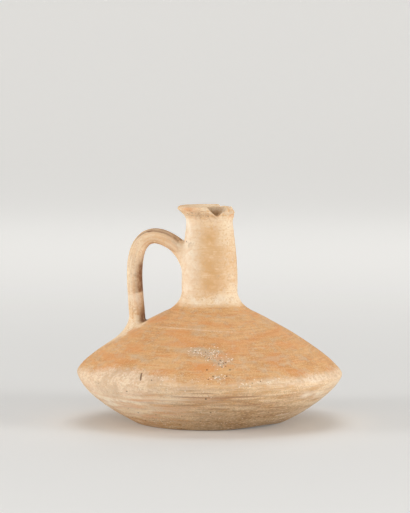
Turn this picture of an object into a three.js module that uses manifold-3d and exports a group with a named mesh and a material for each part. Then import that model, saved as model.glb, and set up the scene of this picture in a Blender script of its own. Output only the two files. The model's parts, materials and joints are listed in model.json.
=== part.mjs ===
// A wheel-thrown terracotta jug: two shallow bowls luted rim to rim into a lens-shaped body, a separately
// thrown neck whose flared lip is partly broken away, and one strap handle. Each clay piece that the potter
// joined is a solid of its own, and so is the luting clay pressed round each joint.
// Millimetres, +Z up. The origin is the middle of the flat foot, and the handle is on the -X side.
import * as THREE from "three";
import { mergeVertices } from "three/addons/utils/BufferGeometryUtils.js";
import Module from "manifold-3d";

const wasm = await Module();
wasm.setup();

// Driving dimensions of the body
const footRadius = 63.3;
const footRound = 2.5;
const footSlope = 26.5; // degrees, where the lower wall leaves the foot
const footReach = 50.7; // how far the wall keeps that slope, as a curve handle
const ridgeRadius = 114.4;
const ridgeHeight = 42.9;
const ridgeReachBelow = 3; // how blunt the ridge is below and above, as curve handles
const ridgeReachAbove = 6.7;
const collarRadius = 35; // where the shoulder runs under the neck's luting
const collarHeight = 96.8;
const collarSlope = 24.9; // degrees
const collarReach = 48.8;
const bodyWall = 6.5;
const floorWall = 8;
const lean = 1.3; // how much higher the shoulder stands on the handle side, as thrown by hand

// Driving dimensions of the neck and lip
const rimHeight = 187; // overall height of the jug
const neckRadius = 23.9;
const neckWall = 5.6;
const neckSwell = 1.4; // outward pull of the neck's lower curve
const neckReach = 27.8;
const waistRadius = 20.15; // narrowest place, under the lip
const waistReach = 7.8;
const lipRadius = 27.6;
const lipDepth = 14; // rim down to the waist
const lipDrop = 3; // rim down to the lip's edge
const lipSlope = 40; // degrees, under the lip's edge
const lipReach = 5;
const crestRadius = 23.5;
const mouthFlare = 1.8;
const mouthDepth = 10;

// Driving dimensions of the handle: its line in the XZ plane, as reach from the axis and height
const strapThickness = 12.8;
const strapWidth = 20;
const strapSquareness = 2.6; // 2 is an ellipse, more is nearer a rectangle
const handleTopHeight = 142.3; // centreline at the neck
const handleTopSlope = 51.8; // degrees, as it leaves the neck
const handleTopReach = 21.6;
const handleOuterReach = 65.5; // furthest out, on the centreline
const handleOuterHeight = 126.5;
const handleShoulderReach = 51.9; // how high and square the bend is, as a curve handle
const handleDropReach = 14.2;
const handleFootReach = 62.3; // where it comes down on the shoulder
const handleFootRise = 18.5;

// Driving dimensions of the luting clay and of the joints
const jointGap = 0.3; // slip film between two joined pieces
const featherEdge = 0.5; // thickness of luting clay where it runs out
const seatLand = 3.5; // flat ring on the shoulder, beyond the neck that stands on it
const neckLutingRise = 12; // up the neck
const seamLutingLeg = 9; // each way from the joint inside the ridge
const seamLutingThickness = 6.1; // at the joint, from the corner to its face
const footLuting = { outside: [13, 15], side: [8, 6], inside: [2.5, 1.5] }; // up the strap, along the body
const topLuting = { outside: [3, 2], side: [8, 7], inside: [16, 16] };

// The lip's breaks. Azimuths are degrees about +Z from +X, offsets are from the axis.
const lostFlares = [
  { azimuth: -52, offset: 21.4, tilt: 10 },
  { azimuth: 4, offset: 20.8, tilt: 10 },
  { azimuth: 52, offset: 22.6, tilt: 14 },
];
const notch = { azimuth: -65, depth: 8.6, width: 15, round: 1.2 };
const loweredRim = { azimuth: 14, depth: 1.8, offset: 11.7, tilt: 3 };
const farDip = { azimuth: 69, depth: 2.7, width: 6, round: 0.8 };

// Fineness of the solids
const turnSteps = 48;
const wallSteps = 10;
const neckSteps = 7;
const handleSteps = 30;
const strapSides = 20;
const lutingSides = 36;
const filletSteps = 6;

// Points and outlines. An outline is a list of (radius, height) points.
const point = (r, z) => new THREE.Vector2(r, z);
const radians = THREE.MathUtils.degToRad;
const polar = (length, degrees) => point(length, 0).rotateAround(point(0, 0), radians(degrees));
const cubic = (a, b, c, d) => new THREE.CubicBezierCurve(a, b, c, d);
const quadratic = (a, b, c) => new THREE.QuadraticBezierCurve(a, b, c);

// The part of an outline whose x or y lies between two values, with its ends cut exactly there.
function clip(points, axis, low, high) {
  const kept = [];
  points.forEach((p, i) => {
    const q = points[i - 1];
    if (q) {
      const cuts = [low, high].map((limit) => (limit - q[axis]) / (p[axis] - q[axis]));
      const inside = cuts.filter((t) => t > 0 && t < 1).sort((s, t) => s - t);
      inside.forEach((t) => kept.push(q.clone().lerp(p, t)));
    }
    if (p[axis] >= low && p[axis] <= high) kept.push(p.clone());
  });
  return kept;
}

// The other coordinate of an outline where one of them has a given value.
function lookUp(points, axis, value, wanted) {
  const i = points.findIndex((p, k) => k > 0 && (p[axis] - value) * (points[k - 1][axis] - value) <= 0);
  const a = points[i - 1];
  const b = points[i];
  const share = b[axis] === a[axis] ? 0 : (value - a[axis]) / (b[axis] - a[axis]);
  return THREE.MathUtils.lerp(a[wanted], b[wanted], share);
}

// An outline moved to its left by a distance, without the loops that a tight bend would leave.
function inset(points, distance) {
  const moved = points.map((p, i) => {
    const before = points[Math.max(i - 1, 0)];
    const after = points[Math.min(i + 1, points.length - 1)];
    const along = after.clone().sub(before).normalize();
    return p.clone().add(point(-along.y, along.x).multiplyScalar(distance));
  });
  const slack = distance * 0.01;
  return moved.filter((q) => points.every((p) => p.distanceTo(q) > distance - slack));
}

// As many points as asked for, evenly along an outline.
const even = (points, count) => new THREE.SplineCurve(points).getSpacedPoints(count);

// Outer and inner outlines of the body
const denseSteps = 90;
const ridge = point(ridgeRadius, ridgeHeight);
const footEdge = point(footRadius, 0);
const collar = point(collarRadius, collarHeight);
const lowerWall = cubic(
  footEdge,
  footEdge.clone().add(polar(footReach, footSlope)),
  ridge.clone().sub(point(0, ridgeReachBelow)),
  ridge,
);
const upperWall = cubic(
  ridge,
  ridge.clone().add(point(0, ridgeReachAbove)),
  collar.clone().add(polar(collarReach, -collarSlope)),
  collar,
);
const boreRootRadius = neckRadius - neckWall;
const seatRadius = neckRadius + seatLand;
const onCollarSlope = (r) => point(r, collarHeight + (collarRadius - r) * Math.tan(radians(collarSlope)));
const seatHeight = onCollarSlope(seatRadius).y;
const hiddenCollar = new THREE.LineCurve(collar, onCollarSlope(0));
const bodyOutline = [
  ...new THREE.LineCurve(point(0, 0), footEdge).getPoints(denseSteps),
  ...lowerWall.getPoints(denseSteps).slice(1),
  ...upperWall.getPoints(denseSteps).slice(1),
  ...hiddenCollar.getPoints(denseSteps).slice(1),
];
const shoulderOutline = bodyOutline.slice(2 * denseSteps);
const cavityOutline = inset(bodyOutline, bodyWall);

// Outer outline of the neck, from its foot to the rim's crest
const neckFoot = seatHeight + jointGap;
const lutingTop = seatHeight + neckLutingRise;
const waist = point(waistRadius, rimHeight - lipDepth);
const lipEdge = point(lipRadius, rimHeight - lipDrop);
const crest = point(crestRadius, rimHeight);
const mouth = point(waistRadius - neckWall + mouthFlare, rimHeight - lipDrop);
const neckCurve = cubic(
  point(neckRadius, lutingTop),
  point(neckRadius + neckSwell, lutingTop + neckReach),
  point(waistRadius, waist.y - waistReach),
  waist,
);
const flareCurve = cubic(
  waist,
  waist.clone().add(point(0, lipReach)),
  lipEdge.clone().sub(polar(lipReach, lipSlope)),
  lipEdge,
);
const crestCurve = quadratic(lipEdge, point(lipRadius, rimHeight), crest);
const mouthCurve = quadratic(crest, point(mouth.x, rimHeight), mouth);
const neckOutline = [point(neckRadius, neckFoot), ...neckCurve.getPoints(denseSteps)];

// Geometry helpers

// A closed outline turned about the Z axis.
function revolve(outline) {
  const geometry = new THREE.LatheGeometry(outline, turnSteps);
  return geometry.rotateX(Math.PI / 2);
}

// Rings of points joined in order, with the last ring joined to the first where they go round.
function loft(rings, goesRound) {
  const sides = rings[0].length;
  const positions = rings.flatMap((ring) => ring.flatMap((p) => [p.x, p.y, p.z]));
  const triangles = [];
  const last = goesRound ? rings.length : rings.length - 1;
  for (let i = 0; i < last; i++) {
    const here = i * sides;
    const next = ((i + 1) % rings.length) * sides;
    for (let k = 0; k < sides; k++) {
      const turn = (k + 1) % sides;
      triangles.push(here + k, here + turn, next + turn, here + k, next + turn, next + k);
    }
  }
  const geometry = new THREE.BufferGeometry();
  geometry.setAttribute("position", new THREE.Float32BufferAttribute(positions, 3));
  return geometry.setIndex(triangles);
}

// A closed geometry as a solid that can be cut, and back again.
function toSolid(geometry) {
  const bare = geometry.clone();
  bare.deleteAttribute("normal");
  bare.deleteAttribute("uv");
  const merged = mergeVertices(bare, 1e-4);
  const index = merged.index.array;
  const triVerts = [];
  for (let i = 0; i < index.length; i += 3) {
    const [a, b, c] = index.slice(i, i + 3);
    if (a !== b && b !== c && c !== a) triVerts.push(a, b, c);
  }
  const vertProperties = merged.getAttribute("position").array;
  return new wasm.Manifold(new wasm.Mesh({ numProp: 3, vertProperties, triVerts: new Uint32Array(triVerts) }));
}

function toGeometry(solid) {
  const { vertProperties, triVerts } = solid.getMesh();
  const geometry = new THREE.BufferGeometry();
  geometry.setAttribute("position", new THREE.BufferAttribute(vertProperties, 3));
  return geometry.setIndex(new THREE.BufferAttribute(triVerts, 1));
}

// The hand-thrown lean: the shoulder stands a little higher on the handle side, and foot and neck stay level.
function leaned(geometry) {
  const place = geometry.getAttribute("position");
  const { smoothstep } = THREE.MathUtils;
  for (let i = 0; i < place.count; i++) {
    const [x, y, z] = [place.getX(i), place.getY(i), place.getZ(i)];
    const rises = smoothstep(z, ridgeHeight / 2, ridgeHeight + bodyWall);
    const settles = 1 - smoothstep(z, collarHeight - 2 * bodyWall, lutingTop);
    const outwards = (-x * Math.hypot(x, y)) / ridgeRadius ** 2;
    place.setZ(i, z + lean * outwards * rises * settles);
  }
  return geometry;
}

// The body's two bowls
const cavityFloor = cavityOutline.map((p) => point(Math.max(p.x, 0), Math.max(p.y, floorWall)));
const footTurn = lowerWall.getPointAt(footRound / lowerWall.getLength());
const lowerOuter = [
  point(0, 0),
  ...quadratic(point(footRadius - footRound, 0), footEdge, footTurn).getPoints(2),
  ...lowerWall.getPoints(wallSteps).slice(1),
];
const floorEnd = cavityFloor.findIndex((p) => p.y > floorWall + 1e-6) - 1;
const lowerInner = even(clip(cavityFloor.slice(floorEnd), "y", 0, ridgeHeight), wallSteps);
const lowerBowl = revolve([...lowerOuter, ...lowerInner.toReversed(), point(0, floorWall)]);

const seamTop = ridgeHeight + jointGap;
const upperWhole = [...upperWall.getPoints(wallSteps), onCollarSlope(seatRadius)];
const upperOuter = clip(upperWhole, "y", seamTop, seatHeight);
const upperInner = even(
  clip(clip(cavityFloor, "y", seamTop, seatHeight), "x", boreRootRadius, ridgeRadius),
  wallSteps,
);
const shoulderLoop = [...upperOuter, point(boreRootRadius, seatHeight), ...upperInner.toReversed()];
const shoulder = revolve([...shoulderLoop, shoulderLoop[0]]);

// Luting clay pressed into the corner inside the ridge
const seamCorner = inset(
  clip([...lowerInner, ...upperInner], "y", ridgeHeight - seamLutingLeg, ridgeHeight + seamLutingLeg),
  jointGap,
);
const seamEnds = [seamCorner[0], seamCorner[seamCorner.length - 1]];
const seamDeepest = Math.max(...seamCorner.map((p) => p.x));
const seamMiddle = seamEnds[0].clone().lerp(seamEnds[1], 0.5);
const seamPull = point(2 * (seamDeepest - seamLutingThickness) - seamMiddle.x, ridgeHeight);
const seamFace = quadratic(seamEnds[1], seamPull, seamEnds[0]).getPoints(filletSteps);
const seamLuting = revolve([...seamCorner, ...seamFace.slice(1)]);

// The neck with its lip, before it was chipped
const boreOf = (p) => point(p.x - neckWall, p.y);
const neckOuter = [point(neckRadius, neckFoot), ...neckCurve.getSpacedPoints(neckSteps)];
const lipOuter = [
  ...flareCurve.getSpacedPoints(filletSteps).slice(1),
  ...crestCurve.getPoints(3).slice(1),
  ...mouthCurve.getPoints(4).slice(1),
];
const boreInner = neckOuter.map(boreOf).filter((p) => p.y < rimHeight - mouthDepth - lipDrop);
const neckLoop = [...neckOuter, ...lipOuter, ...boreInner.reverse()];
const wholeNeck = revolve([...neckLoop, neckLoop[0]]);

// Cutters for the lip's breaks. Each is made about +X and then turned to its azimuth.
const cutterReach = 2 * lipRadius;
const turned = (geometry, azimuth) => toSolid(geometry.rotateZ(radians(azimuth)));

// A slab that takes off the flare beyond an offset from the axis, leaning in towards the rim.
function flareCutter({ azimuth, offset, tilt }) {
  const slab = new THREE.BoxGeometry(cutterReach, 2 * cutterReach, 2 * lipDepth);
  slab.translate(cutterReach / 2, 0, 0).rotateY(-radians(tilt));
  slab.translate(offset, 0, waist.y + (lipDepth - lipDrop) / 2);
  return turned(slab, azimuth);
}

// A V-shaped notch with a rounded root, through the wall on one side of the axis.
function notchCutter({ azimuth, depth, width, round }) {
  const half = width / 2;
  const above = lipDrop;
  const profile = new THREE.Shape()
    .moveTo(-half * (1 + above / depth), above)
    .lineTo(-round, round * (depth / half) - depth)
    .quadraticCurveTo(0, -depth, round, round * (depth / half) - depth)
    .lineTo(half * (1 + above / depth), above);
  const straight = { depth: cutterReach, bevelEnabled: false, curveSegments: 4 };
  const wedge = new THREE.ExtrudeGeometry(profile, straight);
  wedge.rotateX(Math.PI / 2).rotateZ(Math.PI / 2);
  wedge.translate(0, 0, rimHeight);
  return turned(wedge, azimuth);
}

// A slab that takes the top off the rim beyond an offset from the axis, sloping down towards its azimuth.
function rimCutter({ azimuth, depth, offset, tilt }) {
  const slab = new THREE.BoxGeometry(cutterReach, 2 * cutterReach, lipDepth);
  slab.translate(cutterReach / 2, 0, lipDepth / 2).rotateY(radians(tilt));
  slab.translate(offset, 0, rimHeight - depth);
  return turned(slab, azimuth);
}

const breaks = [
  ...lostFlares.map(flareCutter),
  notchCutter(notch),
  rimCutter(loweredRim),
  notchCutter(farDip),
];
const neck = toGeometry(breaks.reduce((left, cutter) => left.subtract(cutter), toSolid(wholeNeck)));

// Luting clay round the neck's foot, hollow-faced, standing on the seat and the shoulder
const lutingInside = neckRadius + jointGap;
const lutingToe = onCollarSlope(collarRadius);
lutingToe.y += jointGap + featherEdge;
const lutingHead = point(lutingInside + featherEdge, lutingTop);
const lutingCorner = point(lutingHead.x, onCollarSlope(lutingHead.x).y + jointGap);
const neckLutingLoop = [
  point(lutingInside, seatHeight + jointGap),
  point(seatRadius, seatHeight + jointGap),
  point(collarRadius, collarHeight + jointGap),
  ...quadratic(lutingToe, lutingCorner, lutingHead).getPoints(filletSteps),
  point(lutingInside, lutingTop),
];
const neckLuting = revolve([...neckLutingLoop, neckLutingLoop[0]]);

// The handle's centreline, in the XZ plane, as one curve run a little way into the neck and the shoulder
const inPlane = (reach, z) => new THREE.Vector3(-reach, 0, z);
const handleTop = point(boreRootRadius, handleTopHeight);
const handleLift = handleTop.clone().add(polar(handleTopReach, handleTopSlope));
const footDepth = lookUp(shoulderOutline, "x", handleFootReach, "y") - strapThickness;
const handleLine = new THREE.CurvePath();
handleLine.add(
  new THREE.CubicBezierCurve3(
    inPlane(handleTop.x, handleTop.y),
    inPlane(handleLift.x, handleLift.y),
    inPlane(handleOuterReach, handleOuterHeight + handleShoulderReach),
    inPlane(handleOuterReach, handleOuterHeight),
  ),
);
handleLine.add(
  new THREE.CubicBezierCurve3(
    inPlane(handleOuterReach, handleOuterHeight),
    inPlane(handleOuterReach, handleOuterHeight - handleDropReach),
    inPlane(handleFootReach, footDepth + handleFootRise),
    inPlane(handleFootReach, footDepth),
  ),
);
const handleLength = handleLine.getLength();

// A point of the strap: turn is 0 on its outer face and goes once round, t runs from the neck to the foot, and
// grow is a thickness added all round.
function strapPoint(turn, t, size = 1, grow = 0) {
  const angle = turn * 2 * Math.PI;
  const [facing, across] = [Math.cos(angle), Math.sin(angle)];
  const rounded = (v) => Math.sign(v) * Math.abs(v) ** (2 / strapSquareness);
  const outwards = (rounded(facing) * strapThickness * size) / 2 + facing * grow;
  const sideways = (rounded(across) * strapWidth * size) / 2 + across * grow;
  const along = handleLine.getTangentAt(t);
  const outer = new THREE.Vector3(along.z, 0, -along.x);
  return handleLine.getPointAt(t).addScaledVector(outer, outwards).add(new THREE.Vector3(0, sideways, 0));
}

// How far a point is outside the neck or above the shoulder, less the joint's gap.
const clearOfNeck = (p) =>
  Math.hypot(p.x, p.y) - lookUp(neckOutline, "y", Math.min(p.z, waist.y), "x") - jointGap;
const clearOfShoulder = (p) =>
  p.z - lookUp(shoulderOutline, "x", Math.min(Math.hypot(p.x, p.y), ridgeRadius), "y") - jointGap;

// Where along the handle a line of the strap meets the neck or the shoulder, found by halving.
function meeting(clearance, inside, outside, turn, size, grow) {
  let [low, high] = [inside, outside];
  for (let i = 0; i < 40; i++) {
    const middle = (low + high) / 2;
    if (clearance(strapPoint(turn, middle, size, grow)) > 0) high = middle;
    else low = middle;
  }
  return high;
}
const handleMiddle = 0.5;
const meetsNeck = (turn, size, grow) => meeting(clearOfNeck, 0, handleMiddle, turn, size, grow);
const meetsShoulder = (turn, size, grow) => meeting(clearOfShoulder, 1, handleMiddle, turn, size, grow);

const turnsOf = (sides) => Array.from({ length: sides }, (_, k) => k / sides);
const turns = turnsOf(strapSides);
const capSizes = [0.02, 0.35, 0.7];
const endRing = (meets, size) => turns.map((turn) => strapPoint(turn, meets(turn, size), size));
const handleRings = [
  ...capSizes.map((size) => endRing(meetsNeck, size)),
  ...Array.from({ length: handleSteps + 1 }, (_, i) =>
    turns.map((turn) => {
      const t = THREE.MathUtils.lerp(meetsNeck(turn), meetsShoulder(turn), i / handleSteps);
      return strapPoint(turn, t);
    }),
  ),
  ...capSizes.toReversed().map((size) => endRing(meetsShoulder, size)),
];

// Closes a loft's two ends with a point in the middle of each end ring.
function capped(rings) {
  const middle = (ring) => ring.reduce((sum, p) => sum.add(p), new THREE.Vector3()).divideScalar(ring.length);
  const ends = [rings[0], rings[rings.length - 1]].map((ring) => ring.map(() => middle(ring)));
  return loft([ends[0], ...rings, ends[1]], false);
}
const handle = capped(handleRings);

// The place on the neck or the shoulder nearest a point, at a small height over the joint's gap.
function ontoNeck(p, lift) {
  const wanted = lookUp(neckOutline, "y", Math.min(p.z, waist.y), "x") + jointGap + lift;
  return new THREE.Vector3(-Math.sqrt(wanted ** 2 - p.y ** 2), p.y, p.z);
}
function ontoShoulder(p, lift) {
  const height = lookUp(shoulderOutline, "x", Math.hypot(p.x, p.y), "y");
  return new THREE.Vector3(p.x, p.y, height + jointGap + lift);
}

// Luting clay round one end of the handle. On each line of the strap it rises along the strap, runs out along
// the body, and its face is a hollow curve between the two that stays clear of the body.
function strapLuting(luting, { meets, clear, onto, away }) {
  const loops = turnsOf(lutingSides).map((turn) => {
    const facing = Math.cos(turn * 2 * Math.PI);
    const end = facing > 0 ? luting.outside : luting.inside;
    const [rise, run] = luting.side.map((side, i) => THREE.MathUtils.lerp(side, end[i], facing ** 2));
    const foot = meets(turn, 1, jointGap);
    const head = foot + (away * rise) / handleLength;
    const inner = [0, 0.5, 1].map((share) =>
      strapPoint(turn, THREE.MathUtils.lerp(foot, head, share), 1, jointGap),
    );
    const start = strapPoint(turn, head, 1, jointGap + featherEdge);
    const corner = strapPoint(turn, foot, 1, jointGap + featherEdge);
    const spread = strapPoint(turn, foot, 1, jointGap + run);
    const face = new THREE.QuadraticBezierCurve3(start, corner, onto(spread, featherEdge))
      .getPoints(filletSteps)
      .map((p) => (clear(p) < featherEdge ? onto(p, featherEdge) : p));
    const under = [1, 2 / 3, 1 / 3].map((share) => onto(inner[0].clone().lerp(spread, share), 0));
    return [...inner, ...face, ...under];
  });
  return loft(away > 0 ? loops : loops.reverse(), true);
}
const atNeck = { meets: meetsNeck, clear: clearOfNeck, onto: ontoNeck, away: 1 };
const atShoulder = { meets: meetsShoulder, clear: clearOfShoulder, onto: ontoShoulder, away: -1 };
const handleTopLuting = strapLuting(topLuting, atNeck);
const handleFootLuting = strapLuting(footLuting, atShoulder);

// Fired clay, in the tones of each piece
const clay = (color, roughness) => new THREE.MeshStandardMaterial({ color, roughness, metalness: 0 });
const slipClay = clay(0xd9a674, 0.85);
const scrapedClay = clay(0xcfa987, 0.9);
const neckClay = clay(0xe3c19a, 0.85);
const lutingClay = clay(0xe2c8a8, 0.9);
const strapClay = clay(0xd8b594, 0.88);

const jug = new THREE.Group();
jug.name = "jug";
const pieces = [
  ["lower_bowl", lowerBowl, scrapedClay],
  ["shoulder", shoulder, slipClay],
  ["seam_luting", seamLuting, lutingClay],
  ["neck", neck, neckClay],
  ["neck_luting", neckLuting, lutingClay],
  ["handle", handle, strapClay],
  ["handle_top_luting", handleTopLuting, lutingClay],
  ["handle_foot_luting", handleFootLuting, lutingClay],
];
for (const [name, geometry, material] of pieces) {
  const mesh = new THREE.Mesh(leaned(geometry), material);
  mesh.name = name;
  jug.add(mesh);
}

export default jug;
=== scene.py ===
import json
from math import cos, pi, radians, sin, tan

import bpy
import numpy as np
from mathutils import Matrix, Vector


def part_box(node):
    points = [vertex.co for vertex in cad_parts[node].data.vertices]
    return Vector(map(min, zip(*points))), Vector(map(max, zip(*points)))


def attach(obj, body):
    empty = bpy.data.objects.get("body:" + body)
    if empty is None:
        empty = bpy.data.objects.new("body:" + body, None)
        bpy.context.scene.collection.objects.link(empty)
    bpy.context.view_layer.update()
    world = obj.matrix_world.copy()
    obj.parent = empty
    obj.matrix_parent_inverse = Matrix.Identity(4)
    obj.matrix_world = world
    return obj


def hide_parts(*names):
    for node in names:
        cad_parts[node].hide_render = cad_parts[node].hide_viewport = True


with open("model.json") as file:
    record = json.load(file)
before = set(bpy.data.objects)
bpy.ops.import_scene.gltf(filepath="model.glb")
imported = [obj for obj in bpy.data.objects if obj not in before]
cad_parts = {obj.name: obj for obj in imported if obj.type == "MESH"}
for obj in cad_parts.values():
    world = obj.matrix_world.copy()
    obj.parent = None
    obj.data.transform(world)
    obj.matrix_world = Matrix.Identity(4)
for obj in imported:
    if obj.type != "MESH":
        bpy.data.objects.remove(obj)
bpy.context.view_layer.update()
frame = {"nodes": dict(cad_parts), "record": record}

# Sizes in millimetres and slopes in degrees, in the frame of the solids. The first four come from them.
MM = 0.001
ridge_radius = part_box("lower_bowl")[1][0] / MM
rim_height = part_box("neck")[1][2] / MM
lip_radius = -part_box("neck")[0][0] / MM
luting_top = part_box("neck_luting")[1][2] / MM
foot_radius = 63.3
foot_round = 2.5
foot_slope = 26.5
foot_reach = 50.7
ridge_height = 42.9
ridge_reach_below = 3.0
ridge_reach_above = 6.7
collar_radius = 35.0
collar_height = 96.8
collar_slope = 24.9
collar_reach = 48.8
body_wall = 6.5
floor_wall = 8.0
lean = 1.3
slip_top = 101.6
neck_radius = 23.9
neck_wall = 5.6
neck_swell = 1.4
neck_reach = 27.8
waist_radius = 20.15
waist_reach = 7.8
lip_depth = 14.0
lip_drop = 3.0
lip_slope = 40.0
lip_reach = 5.0
crest_radius = 23.5
mouth_flare = 1.8
mouth_depth = 10.0
strap_thickness = 12.8
strap_width = 20.0
strap_squareness = 2.6
handle_top_height = 142.3
handle_top_slope = 51.8
handle_top_reach = 21.6
handle_outer_reach = 65.5
handle_outer_height = 126.5
handle_shoulder_reach = 51.9
handle_drop_reach = 14.2
handle_foot_reach = 62.3
handle_foot_rise = 18.5
foot_luting = {"outside": (13, 15), "side": (8, 6), "inside": (2.5, 1.5)}
top_luting = {"outside": (3, 2), "side": (8, 7), "inside": (16, 16)}

# The lip's breaks. Azimuths are degrees about +Z from +X, offsets are from the axis.
lost_flares = ((-52, 21.4, 10), (4, 20.8, 10), (52, 22.6, 14))
notch = {"azimuth": -65, "depth": 8.3, "width": 18.5, "round": 3.2}
chip = {"azimuth": -46, "depth": 4.4, "width": 10, "round": 2.2}
far_dip = {"azimuth": 69, "depth": 2.7, "width": 6, "round": 0.8}
lowered_rim = {"azimuth": 14, "depth": 1.0, "offset": 11.7, "tilt": 3}
broken_round = 3.0

# The foot's worn edge: its middle, its spread in degrees and how far it clears the ground
worn_foot = {"azimuth": -36, "spread": 24, "lift": 1.9}

# Places of marks on the clay: X, Y, Z, and how far each spreads along the ground and in height
belly_reds = ((7, -100, 57.7, 9, 4.5), (21.5, -87, 65.6, 4.5, 2.2))
lip_reds = ((-15, -22, 185, 8, 2.2), (19.5, -9, 182, 6, 4))
# Whitish glints on the right of the lower bowl: chalky crust and painted highlight in one
bowl_chalk_and_glints = ((90, -60, 31.6, 7, 2.5), (99, -43, 31, 10, 2.5), (97, -59, 43.5, 7, 1.8))
grey_blooms = (
    (9, -84, 69, 14, 5),
    (27, -88, 64, 7, 3),
    (21, -93, 61, 6, 5),
    (-33, -106, 48.5, 8, 3.5),
    (62, -93, 47, 6, 2.5),
    (65, -66, 63, 6, 2.5),
    (56, -84, 55.5, 4, 2.5),
    (-67, -67, 63, 6, 2.5),
)
belly_grits = (
    (8.5, -85, 68.3, 9, 3.6),
    (0.5, -83, 70.5, 5, 2.5),
    (17, -82, 69.5, 5, 2.2),
    (21.5, -93, 61.5, 5.5, 4.5),
    (13, -91, 64, 4.5, 2.2),
    (30, -87.5, 63.3, 3, 1.8),
    (21.5, -106, 50.5, 5.5, 2.6),
)
thin_grits = (
    (14, -104, 38, 7, 5),
    (13, -93, 27, 7, 6),
    (-34, -73, 9.5, 14, 3),
    (44, -104, 44.5, 9, 2),
    (58, -94, 46.5, 8, 2.5),
)
lip_grits = ((-17, -18, 179.5, 7, 1.8), (-5, -23, 179.5, 8, 1.8))
crumbled_lip = ((-8, -23, 180, 15, 5), (4, -22, 177, 9, 5))
joint_pit = (-15, -16, 154, 3.5, 3)

# Lines scraped round the lower bowl: height, azimuth of the middle and degrees to both sides of it
scraped_lines = ((34.5, -79, 18), (37.9, -85.5, 4), (40.5, -92.5, 4))

# Fineness of the surfaces
body_turns = 600
neck_turns = 300
wall_rows = 120
strap_sides = 96
strap_rings = 200
luting_rows = 26
curve_points = 400
strap_line_points = 1200
halvings = 40
crease_angle = 60

# Smooth noise, the same on every run
noise_gain = 1.6
seed_shift = 17.3
random = np.random.RandomState(11)
shuffle = random.permutation(256)
slopes = random.normal(size=(256, 3))
slopes /= np.linalg.norm(slopes, axis=1)[:, None]


def noise(points, size, seed):
    """Smooth noise from about -1 to 1, with features of one size in mm, or of three along X, Y and Z."""
    place = points / np.asarray(size, float) + seed_shift * seed
    cell = np.floor(place).astype(int)
    inside = place - cell
    ease = inside**3 * (inside * (inside * 6 - 15) + 10)
    total = np.zeros(points.shape[:-1])
    for corner in np.ndindex(2, 2, 2):
        x, y, z = np.moveaxis(cell + corner, -1, 0)
        pick = shuffle[(shuffle[(shuffle[x & 255] + y) & 255] + z) & 255]
        weight = np.prod(np.where(corner, ease, 1 - ease), axis=-1)
        total += weight * np.sum((inside - corner) * slopes[pick], axis=-1)
    return noise_gain * total


def uneven(points, *layers):
    """Layers of noise, each given by its strength, its size and its seed."""
    return sum(strength * noise(points, size, seed) for strength, size, seed in layers)


def step(value, start, end):
    """0 before start, 1 after end, and smooth between. Start may be the higher of the two."""
    share = np.clip((value - start) / (end - start), 0, 1)
    return share * share * (3 - 2 * share)


def bell(value, middle, spread):
    """1 at the middle, fading out over a spread to both sides."""
    return np.exp(-(((value - middle) / spread) ** 2))


def azimuth_gap(points, azimuth):
    """Degrees round the axis from an azimuth, from 0 to 180."""
    turn = np.degrees(np.arctan2(points[..., 1], points[..., 0])) - azimuth
    return np.abs((turn + 180) % 360 - 180)


def beside(points, azimuth, spread):
    """1 at an azimuth, fading out over a spread in degrees to both sides."""
    return bell(azimuth_gap(points, azimuth), 0, spread)


def between(value, start, full, fading, end):
    """1 from full to fading, and smooth down to 0 at start and at end."""
    return step(value, start, full) * step(value, end, fading)


def spots(points, *places):
    """1 at each place, X, Y and Z, fading out over its spread along the ground and its spread in height."""
    total = np.zeros(points.shape[:-1])
    for x, y, z, along, rise in places:
        aside = np.hypot(points[..., 0] - x, points[..., 1] - y)
        total += bell(aside, 0, along) * bell(points[..., 2], z, rise)
    return total


# Outlines, as rows of (radius, height)
def bezier(*points, count):
    points = [np.array(p, float) for p in points]
    t = np.linspace(0, 1, count)[:, None]
    while len(points) > 1:
        points = [a + (b - a) * t for a, b in zip(points, points[1:])]
    return points[0]


def polar(length, degrees):
    return np.array((length * cos(radians(degrees)), length * sin(radians(degrees))))


def even(outline, count):
    """As many points as asked for, evenly along an outline."""
    gaps = np.hypot(*np.diff(outline, axis=0).T)
    along = np.concatenate(([0], np.cumsum(gaps)))
    wanted = np.linspace(0, along[-1], count)
    return np.stack([np.interp(wanted, along, outline[:, k]) for k in (0, 1)], 1)


up = np.array((0, 1))
ridge = np.array((ridge_radius, ridge_height))
foot_edge = np.array((foot_radius, 0))
collar = np.array((collar_radius, collar_height))
lower_wall = bezier(
    foot_edge,
    foot_edge + polar(foot_reach, foot_slope),
    ridge - up * ridge_reach_below,
    ridge,
    count=curve_points,
)
upper_wall = bezier(
    ridge,
    ridge + up * ridge_reach_above,
    collar + polar(collar_reach, -collar_slope),
    collar,
    count=curve_points,
)
waist = np.array((waist_radius, rim_height - lip_depth))
lip_edge = np.array((lip_radius, rim_height - lip_drop))
crest = np.array((crest_radius, rim_height))
mouth = np.array((waist_radius - neck_wall + mouth_flare, rim_height - lip_drop))
neck_start = np.array((neck_radius, luting_top))
neck_curve = bezier(
    neck_start,
    neck_start + (neck_swell, neck_reach),
    waist - up * waist_reach,
    waist,
    count=200,
)
flare_curve = bezier(
    waist,
    waist + up * lip_reach,
    lip_edge - polar(lip_reach, lip_slope),
    lip_edge,
    count=60,
)
crest_curve = bezier(lip_edge, (lip_radius, rim_height), crest, count=20)
mouth_curve = bezier(crest, (mouth[0], rim_height), mouth, count=30)
neck_outline = np.vstack(((neck_radius, collar_height), neck_curve))


def shoulder_height(radius):
    return np.interp(radius, upper_wall[::-1, 0], upper_wall[::-1, 1])


def neck_across(height):
    return np.interp(height, neck_outline[:, 1], neck_outline[:, 0])


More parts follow.
